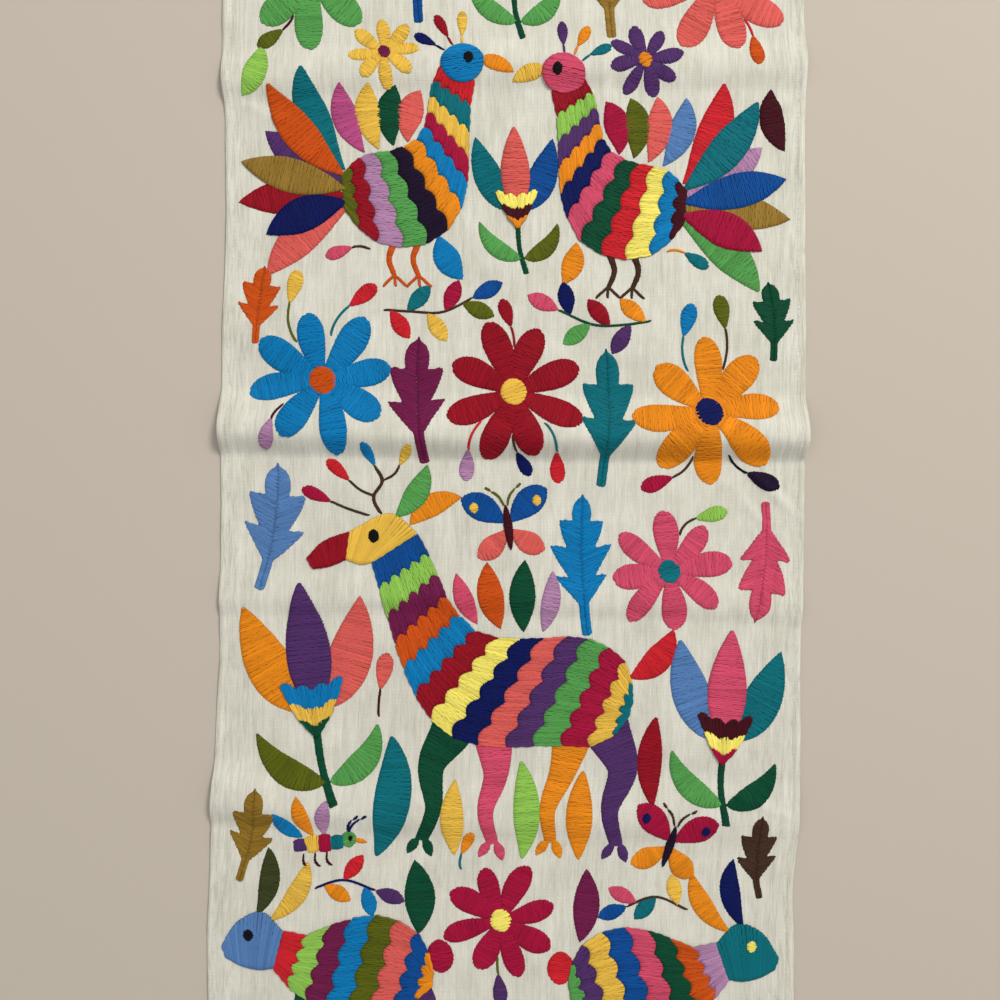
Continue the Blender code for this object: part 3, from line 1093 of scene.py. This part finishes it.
def mesh_from(name, arrays, materials):
    """One mesh object out of arrays, with its shading numbers and a material for each colour in use."""
    starts = np.cumsum([0] + [len(part[0]) for part in arrays[:-1]])
    points = np.concatenate([part[0] for part in arrays]) * MM
    quads = np.concatenate([part[1] + start for part, start in zip(arrays, starts)])
    rise, tone = (np.concatenate([part[k] for part in arrays]) for k in (2, 3))
    thread = np.concatenate([part[4] for part in arrays]) * MM
    yarn = np.concatenate([part[5] for part in arrays])
    sizes = np.where(quads[:, 2] == quads[:, 3], 3, 4)
    keep = np.ones(quads.shape, bool)
    keep[sizes == 3, 3] = False
    corners = quads[keep]
    mesh = smooth_mesh(name, points, corners, sizes)
    used = sorted(set(yarn.tolist()))
    slots = np.searchsorted(used, yarn)
    mesh.polygons.foreach_set("material_index", slots.astype(np.int32))
    for label, values in (("rise", rise), ("tone", tone)):
        layer = mesh.attributes.new(label, "FLOAT", "POINT")
        layer.data.foreach_set("value", values.astype(np.float32))
    return finished(name, mesh, "thread", thread, corners, [materials[k] for k in used])


# %% [markdown]
# ## Thread as a material
#
# Embroidery cotton is two or more plies twisted together, with a soft sheen and a dull valley between one
# thread and the next. All the colours share one node group for that: it lightens or darkens a whole thread
# by its tone, paints shade on its sides where one thread meets the next and in the grooves of its twist,
# and gives the twist as a height for the bump. The colour itself is the group's own input, and the shader
# stays in each material.

# %% Node helpers
def fill(made, **values):
    """A node or shader with its inputs set by name."""
    for name, value in values.items():
        made.inputs[name.replace("_", " ")].default_value = value
    return made


def node(tree, kind, **values):
    """A new node with its inputs set by name."""
    return fill(tree.nodes.new(kind), **values)


def new_material(name):
    """A new material, and its shader."""
    material = bpy.data.materials.new(name)
    material.use_nodes = True
    return material, material.node_tree.nodes["Principled BSDF"]


def math_node(tree, operation, first, second):
    """A maths node of two inputs, each a number or a socket."""
    made = tree.nodes.new("ShaderNodeMath")
    made.operation = operation
    for socket, value in zip(made.inputs, (first, second)):
        if isinstance(value, (int, float)):
            socket.default_value = value
        else:
            tree.links.new(value, socket)
    return made.outputs[0]


def about_one(tree, value, middle, spread):
    """A factor that is 1 where the value is at its middle, and moves from it by the spread."""
    off = math_node(tree, "MULTIPLY", math_node(tree, "SUBTRACT", value, middle), spread)
    return math_node(tree, "ADD", off, 1.0)


def attribute(tree, name):
    """The value that each point of the mesh carries under a name."""
    made = tree.nodes.new("ShaderNodeAttribute")
    made.attribute_name = name
    return made.outputs["Fac"]


FADING = 0.28
FLUFF = 0.3
TWIST_SHADE = 0.1


def thread_group():
    """Colour of spun thread, with painted shade on its sides and in its twist, and its height."""
    group = bpy.data.node_groups.new("spun_thread", "ShaderNodeTree")
    face = group.interface
    colour_in = face.new_socket("Dye", in_out="INPUT", socket_type="NodeSocketColor")
    colour_in.default_value = (0.5, 0.1, 0.1, 1.0)
    for name, value in (("Tone spread", 0.40), ("Side shade", 0.34), ("Twists per metre", 900.0)):
        face.new_socket(name, in_out="INPUT", socket_type="NodeSocketFloat").default_value = value
    face.new_socket("Color", in_out="OUTPUT", socket_type="NodeSocketColor")
    face.new_socket("Height", in_out="OUTPUT", socket_type="NodeSocketFloat")
    given = group.nodes.new("NodeGroupInput")
    out = group.nodes.new("NodeGroupOutput")
    links = group.links
    uv = group.nodes.new("ShaderNodeUVMap")
    uv.uv_map = "thread"
    split = group.nodes.new("ShaderNodeSeparateXYZ")
    links.new(uv.outputs[0], split.inputs[0])
    turns = math_node(group, "MULTIPLY", split.outputs["X"], given.outputs["Twists per metre"])
    turns = math_node(group, "ADD", turns, math_node(group, "MULTIPLY", split.outputs["Y"], 1000.0))
    ply = math_node(group, "SINE", math_node(group, "MULTIPLY", turns, 2.0 * pi), 0.0)
    ply = math_node(group, "MULTIPLY_ADD", ply, 0.5)
    ply.node.inputs[2].default_value = 0.5
    place = group.nodes.new("ShaderNodeTexCoord")
    fade = node(group, "ShaderNodeTexNoise", Scale=38.0, Detail=3.0, Roughness=0.6)
    links.new(place.outputs["Object"], fade.inputs["Vector"])
    fuzz = node(group, "ShaderNodeTexNoise", Scale=2600.0, Detail=2.0, Roughness=0.6)
    links.new(place.outputs["Object"], fuzz.inputs["Vector"])
    light = about_one(group, attribute(group, "tone"), 0.5, given.outputs["Tone spread"])
    for factor in (
        # Painted shade: the colour darkens towards the low sides of each thread.
        about_one(group, attribute(group, "rise"), 1.0, given.outputs["Side shade"]),
        about_one(group, fade.outputs["Fac"], 0.5, FADING),
        about_one(group, fuzz.outputs["Fac"], 0.5, FLUFF),
        # Painted shade in the grooves of the twist.
        about_one(group, ply, 0.5, TWIST_SHADE),
    ):
        light = math_node(group, "MULTIPLY", light, factor)
    colour = group.nodes.new("ShaderNodeVectorMath")
    colour.operation = "SCALE"
    links.new(given.outputs["Dye"], colour.inputs[0])
    links.new(light, colour.inputs["Scale"])
    links.new(colour.outputs[0], out.inputs["Color"])
    height = math_node(group, "ADD", math_node(group, "MULTIPLY", ply, 0.6), fuzz.outputs["Fac"])
    links.new(height, out.inputs["Height"])
    return group


def thread_material(name, shade, group, side_shade=0.34):
    """One dyed thread."""
    material, shader = new_material(f"thread_{name}")
    tree = material.node_tree
    spun = tree.nodes.new("ShaderNodeGroup")
    spun.node_tree = group
    fill(spun, Dye=linear(shade), Side_shade=side_shade)
    tree.links.new(spun.outputs["Color"], shader.inputs["Base Color"])
    bump = node(tree, "ShaderNodeBump", Strength=0.5, Distance=0.00012)
    tree.links.new(spun.outputs["Height"], bump.inputs["Height"])
    tree.links.new(bump.outputs[0], shader.inputs["Normal"])
    fill(shader, Roughness=0.62, Specular_IOR_Level=0.12, Sheen_Weight=0.02, Sheen_Roughness=0.5)
    return material


spun_thread = thread_group()
thread_materials = [thread_material(name, shade, spun_thread) for name, shade in YARNS.items()]
print(f"{len(thread_materials)} thread materials share one node group")

# %% [markdown]
# ## The cotton ground
#
# The ground is unbleached cotton in plain weave: threads over and under, some thicker than others, which
# show as faint streaks both ways, with small darker flecks of seed. Fine folds run along the cloth, most of
# all beside the side hems, each a shallow valley in the bump with a grey line of painted shade in the
# colour, because soft light alone hardly shows them. The two cotton tones were adjusted until the lit
# ground came near the photo's.
# The weave follows the panel through its own UV map, so it bends with the creases.

# %% Cotton material
COTTON_SHADE = (182, 178, 159)
COTTON_PALE = (245, 241, 227)
# Width and darkness of the painted shade along the fine folds.
FOLD_SHADE_WIDE = 0.035
PAINTED_FOLD_SHADE = 0.30
EDGE_FOLDS = (4.5, 13.0)


def cotton_material():
    """Unbleached plain weave."""
    material, shader = new_material("unbleached_cotton")
    tree = material.node_tree
    links = tree.links
    uv = tree.nodes.new("ShaderNodeUVMap")
    uv.uv_map = "panel"

    def streaks(scale_x, scale_y, detail):
        """Noise drawn out along one direction of the panel."""
        mapping = node(tree, "ShaderNodeMapping", Scale=(scale_x, scale_y, 1.0))
        links.new(uv.outputs[0], mapping.inputs["Vector"])
        noise = node(tree, "ShaderNodeTexNoise", Scale=1.0, Detail=detail, Roughness=0.55)
        links.new(mapping.outputs[0], noise.inputs["Vector"])
        return noise.outputs["Fac"]

    def weave(direction):
        """Ridges of thread along one direction."""
        wave = node(tree, "ShaderNodeTexWave", Scale=330.0, Distortion=1.2, Detail=2.0, Detail_Scale=0.3)
        wave.bands_direction = direction
        links.new(uv.outputs[0], wave.inputs["Vector"])
        return wave.outputs["Fac"]

    warp = streaks(900.0, 34.0, 3.0)
    short_warp = streaks(1100.0, 120.0, 2.0)
    weft = streaks(70.0, 1000.0, 2.0)
    grain = streaks(1700.0, 1700.0, 2.0)
    slub = streaks(260.0, 22.0, 2.0)
    patch = streaks(46.0, 30.0, 3.0)
    seed = streaks(420.0, 420.0, 1.0)
    fold = math_node(tree, "ABSOLUTE", math_node(tree, "SUBTRACT", streaks(190.0, 17.0, 2.5), 0.5), 0.0)
    light = 0.5
    shares = ((warp, 0.30), (short_warp, 0.24), (weft, 0.08), (grain, 0.20), (patch, 0.36), (slub, 0.30))
    for noise, share in shares:
        streak = math_node(tree, "MULTIPLY", math_node(tree, "SUBTRACT", noise, 0.5), share)
        light = math_node(tree, "ADD", streak, light)
    fleck = math_node(tree, "MAXIMUM", math_node(tree, "SUBTRACT", seed, 0.78), 0.0)
    light = math_node(tree, "SUBTRACT", light, math_node(tree, "MULTIPLY", fleck, 1.6))
    ramp = tree.nodes.new("ShaderNodeValToRGB")
    for stop, position, shade in zip(ramp.color_ramp.elements, (0.2, 0.8), (COTTON_SHADE, COTTON_PALE)):
        stop.position = position
        stop.color = linear(shade)
    links.new(ramp.outputs["Color"], shader.inputs["Base Color"])
    split = tree.nodes.new("ShaderNodeSeparateXYZ")
    links.new(uv.outputs[0], split.inputs[0])
    near_edge = node(tree, "ShaderNodeMapRange", From_Min=0.160, From_Max=0.194)
    fill(near_edge, To_Min=EDGE_FOLDS[0], To_Max=EDGE_FOLDS[1])
    links.new(math_node(tree, "ABSOLUTE", split.outputs["X"], 0.0), near_edge.inputs["Value"])
    # Painted shade: a thin grey line along each fine fold, strongest beside the side hems.
    valley = math_node(tree, "MAXIMUM", math_node(tree, "SUBTRACT", FOLD_SHADE_WIDE, fold), 0.0)
    valley = math_node(tree, "MULTIPLY", valley, near_edge.outputs["Result"])
    light = math_node(tree, "SUBTRACT", light, math_node(tree, "MULTIPLY", valley, PAINTED_FOLD_SHADE))
    links.new(light, ramp.inputs["Fac"])
    relief = math_node(tree, "MULTIPLY", math_node(tree, "ADD", weave("X"), weave("Y")), 0.35)
    warps = math_node(tree, "MULTIPLY", math_node(tree, "ADD", warp, short_warp), 1.2)
    wefts = math_node(tree, "MULTIPLY", weft, 0.6)
    folds = math_node(tree, "MULTIPLY", fold, near_edge.outputs["Result"])
    for part in (warps, wefts, folds):
        relief = math_node(tree, "ADD", relief, part)
    bump = node(tree, "ShaderNodeBump", Strength=0.55, Distance=0.0003)
    links.new(relief, bump.inputs["Height"])
    links.new(bump.outputs[0], shader.inputs["Normal"])
    fill(shader, Roughness=0.88, Specular_IOR_Level=0.2, Sheen_Weight=0.12, Sheen_Roughness=0.6)
    return material


cotton = cotton_material()
print("Cotton:", len(cotton.node_tree.nodes), "nodes")

# %% [markdown]
# ## The woven sheet
#
# The sheet is a grid with an upper and a lower side, joined round its rim, so it has a true thickness. Rows
# lie closer over the creases and columns lie closer at the hems, where the turned-under cloth is about
# twice as thick and a groove marks the sewn line.

# %% Make the sheet
COLUMN_STEP = 4.6
EDGE_COLUMN_STEP = 2.3
EDGE_SPAN = 44.0
ROW_STEP = 3.6
CREASE_ROW_STEP = 1.7
CREASE_MARGIN = 4
TUCK_ROWS = (-28.0, 26.0)
HemRow = namedtuple("HemRow", "inward thick")
SIDE_PROFILE = (
    HemRow(0.0, 0.75),
    HemRow(0.8, 1.25),
    HemRow(2.2, HEM_THICK),
    HemRow(4.0, 1.2),
    HemRow(SIDE_HEM, 0.68),
    HemRow(6.0, 0.82),
    HemRow(8.5, CLOTH_THICK),
)
END_PROFILE = (
    HemRow(0.0, 0.75),
    HemRow(1.0, 1.25),
    HemRow(3.5, HEM_THICK),
    HemRow(7.0, HEM_THICK),
    HemRow(10.5, 1.2),
    HemRow(END_HEM, 0.68),
    HemRow(13.2, 0.82),
    HemRow(16.0, CLOTH_THICK),
)


def stations(length, profile, step, close_step, crowded):
    """Places across the panel: a profile at each edge, even steps between, closer in crowded spans."""
    half = length / 2.0
    edge = [row.inward for row in profile]
    places = [place - half for place in edge]
    while places[-1] < half - edge[-1]:
        close = any(low <= places[-1] <= high for low, high in crowded)
        places.append(places[-1] + (close_step if close else step))
    places = [place for place in places if place < half - edge[-1] - 0.4 * close_step]
    return np.array(places + [half - place for place in reversed(edge)])


def thickness(places, length, profile):
    """The cloth's thickness at places between two edges."""
    inward = length / 2.0 - np.abs(places)
    return np.interp(inward, [row.inward for row in profile], [row.thick for row in profile])


def sheet_arrays():
    """The sheet's points, its faces and where the points lie on the panel."""
    crowded = [TUCK_ROWS]
    for crease in CREASES:
        lowest = crease.crest_left - crease.reach_down - CREASE_MARGIN
        highest = crease.crest_right + crease.reach_up + CREASE_MARGIN
        crowded.append((lowest, highest))
    half = CLOTH_WIDTH / 2.0
    by_edges = [(-half, EDGE_SPAN - half), (half - EDGE_SPAN, half)]
    xs = stations(CLOTH_WIDTH, SIDE_PROFILE, COLUMN_STEP, EDGE_COLUMN_STEP, by_edges)
    ys = stations(CLOTH_LENGTH, END_PROFILE, ROW_STEP, CREASE_ROW_STEP, crowded)
    x, y = np.meshgrid(xs, ys)
    across_thick = thickness(xs, CLOTH_WIDTH, SIDE_PROFILE)
    along_thick = thickness(ys, CLOTH_LENGTH, END_PROFILE)
    in_side = (half - np.abs(x)) < SIDE_PROFILE[-1].inward
    thick = np.where(in_side, across_thick[None, :], along_thick[:, None])
    low = lying(x, y)
    top = low + outward(x, y) * thick[..., None]
    rows, columns = x.shape
    index = np.arange(rows * columns).reshape(rows, columns)
    upper = index + rows * columns
    faces = [
        np.stack([index[:-1, :-1], index[1:, :-1], index[1:, 1:], index[:-1, 1:]], -1),
        np.stack([upper[:-1, :-1], upper[:-1, 1:], upper[1:, 1:], upper[1:, :-1]], -1),
        np.stack([index[:-1, 0], upper[:-1, 0], upper[1:, 0], index[1:, 0]], -1),
        np.stack([index[:-1, -1], index[1:, -1], upper[1:, -1], upper[:-1, -1]], -1),
        np.stack([index[0, :-1], index[0, 1:], upper[0, 1:], upper[0, :-1]], -1),
        np.stack([index[-1, :-1], upper[-1, :-1], upper[-1, 1:], index[-1, 1:]], -1),
    ]
    points = np.concatenate([low.reshape(-1, 3), top.reshape(-1, 3)]) * MM
    panel = np.column_stack([np.tile(x.reshape(-1), 2), np.tile(y.reshape(-1), 2)]) * MM
    return points, np.concatenate([part.reshape(-1, 4) for part in faces]), panel


def make_sheet(name, material):
    """The sheet as an object, with its panel places as a UV map."""
    points, faces, panel = sheet_arrays()
    corners = faces.reshape(-1)
    mesh = smooth_mesh(name, points, corners, np.full(len(faces), 4))
    return finished(name, mesh, "panel", panel, corners, [material])


cloth = make_sheet("cotton_cloth", cotton)
print(f"Sheet: {2 * len(cloth.data.polygons)} triangles")

# %% [markdown]
# ## The hem stitches
#
# The hems are sewn down with small stitches in a thread of the cloth's own colour, taken here as slanting.
# They sink into the groove, so that each shows as little more than a dimple.

# %% Sew the hems
HEM_STITCH = 1.9
HEM_STEP = 4.1
HEM_THREAD_WIDTH = 0.7
HEM_SLANT = (0.55, 0.84)
HEM_SHADE = (229, 224, 208)


def hem_line(first, last, inward):
    """Stitches that slant across a groove from one corner to another."""
    draw = np.random.default_rng(61)
    run = np.subtract(last, first)
    length = np.hypot(*run)
    run = run / length
    count = int(length / HEM_STEP)
    along = (np.arange(count) + 0.5) * HEM_STEP + draw.normal(0.0, 0.35, count)
    middle = np.array(first, float) + run * along[:, None]
    way = (run * HEM_SLANT[0] + np.array(inward, float) * HEM_SLANT[1]) * 0.5 * HEM_STITCH
    return Threads(
        middle - way,
        middle + way,
        np.full(count, HEM_THREAD_WIDTH),
        draw.uniform(0.26, 0.38, count),
        np.zeros(count),
        np.zeros(count),
        np.ones(count),
        np.zeros(count),
        np.clip(draw.normal(0.4, 0.2, count), 0.0, 1.0),
        np.zeros(count, int),
    )


side_x = CLOTH_WIDTH / 2.0 - SIDE_HEM
end_y = CLOTH_LENGTH / 2.0 - END_HEM
hem_threads = joined([
    hem_line((-side_x, -end_y), (-side_x, end_y), (1.0, 0.0)),
    hem_line((side_x, -end_y), (side_x, end_y), (-1.0, 0.0)),
    hem_line((-side_x, end_y), (side_x, end_y), (0.0, -1.0)),
    hem_line((-side_x, -end_y), (side_x, -end_y), (0.0, 1.0)),
])
# The hem thread takes only a little painted shade on its sides.
hem_thread = thread_material("hem", HEM_SHADE, spun_thread, side_shade=0.05)
hem_stitches = mesh_from("hem_stitches", [tube_arrays(hem_threads, 3)], [hem_thread])
print(f"{len(hem_threads.start)} hem stitches")

# %% [markdown]
# ## Sewing the motifs
#
# Every piece draws its own random numbers from its place in the list, so a change to one leaves the others
# as they were.

# %% Sew
pieces = [hem_stitches]
for number, (name, parts) in enumerate(motifs.items()):
    draw = np.random.default_rng(100 + number)
    threads = joined([
        stitch_column(part, draw) if isinstance(part, Column) else stitch_cord(part, draw) for part in parts
    ])
    length = np.hypot(*(threads.end - threads.start).T)
    rings = np.clip(np.round(length / RING_STEP).astype(int) + 2, 3, MOST_RINGS)
    arrays = []
    for wanted in sorted(set(rings.tolist())):
        chosen = rings == wanted
        arrays.append(tube_arrays(Threads(*[values[chosen] for values in threads]), wanted))
    for part in parts:
        if isinstance(part, Column):
            arrays.append(backing_arrays(part, list(YARNS).index(part.yarn)))
    piece = mesh_from(name, arrays, thread_materials)
    pieces.append(piece)
    triangles = sum(len(face.vertices) - 2 for face in piece.data.polygons)
    print(f"{name}: {len(length)} threads, {triangles} triangles")

# %% [markdown]
# ## Riding, floor, light and camera
#
# The cloth and its stitches ride on the one body. The floor is plain and pale, and soft light from the upper
# right rakes over the creases, with a dimmer fill from the lower left. The camera looks straight down,
# turned a little as in a photo taken by hand.

# %% Fasten the pieces to the frame
for piece in (cloth, *pieces):
    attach(piece, "root")
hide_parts("cloth_panel")

# %% Floor
FLOOR_SIZE = 8.0
FLOOR_GAP = 0.0003
FLOOR_SHADE = (196, 184, 168)
bpy.ops.mesh.primitive_plane_add(size=FLOOR_SIZE, location=(0.0, 0.0, -FLOOR_GAP))
floor = bpy.context.object
floor.name = "floor"
floor_material, floor_shader = new_material("pale_floor")
fill(floor_shader, Base_Color=linear(FLOOR_SHADE), Roughness=0.8)
floor.data.materials.append(floor_material)

# %% Light
LightRow = namedtuple("LightRow", "name place size power colour")
LIGHTS = (
    LightRow("window", (1.25, 1.75, 2.2), 0.85, 60.0, (1.0, 0.985, 0.955)),
    LightRow("fill", (-0.6, -0.5, 1.7), 1.6, 3.0, (0.93, 0.96, 1.0)),
)
for row in LIGHTS:
    data = bpy.data.lights.new(row.name, "AREA")
    data.size = row.size
    data.energy = row.power
    data.color = row.colour
    light = bpy.data.objects.new(row.name, data)
    light.location = row.place
    light.rotation_euler = (-Vector(row.place)).to_track_quat("-Z", "Y").to_euler()
    bpy.context.scene.collection.objects.link(light)
world = bpy.data.worlds.new("studio")
world.use_nodes = True
fill(world.node_tree.nodes["Background"], Color=(0.95, 0.97, 1.0, 1.0), Strength=0.50)
bpy.context.scene.world = world
bpy.context.scene.view_settings.view_transform = "Standard"

# %% Camera
CAMERA_HIGH = 0.65
VIEW_SPAN = 0.6855
VIEW_CENTRE = (-0.0066, 0.0)
CAMERA_TURN = 0.945
SENSOR = 36.0
camera_data = bpy.data.cameras.new("camera")
camera_data.sensor_width = SENSOR
camera_data.lens = SENSOR * CAMERA_HIGH / VIEW_SPAN
camera = bpy.data.objects.new("camera", camera_data)
camera_turn = Matrix.Rotation(radians(CAMERA_TURN), 4, "Z")
camera.matrix_world = Matrix.Translation((*VIEW_CENTRE, CAMERA_HIGH)) @ camera_turn
bpy.context.scene.collection.objects.link(camera)
bpy.context.scene.camera = camera
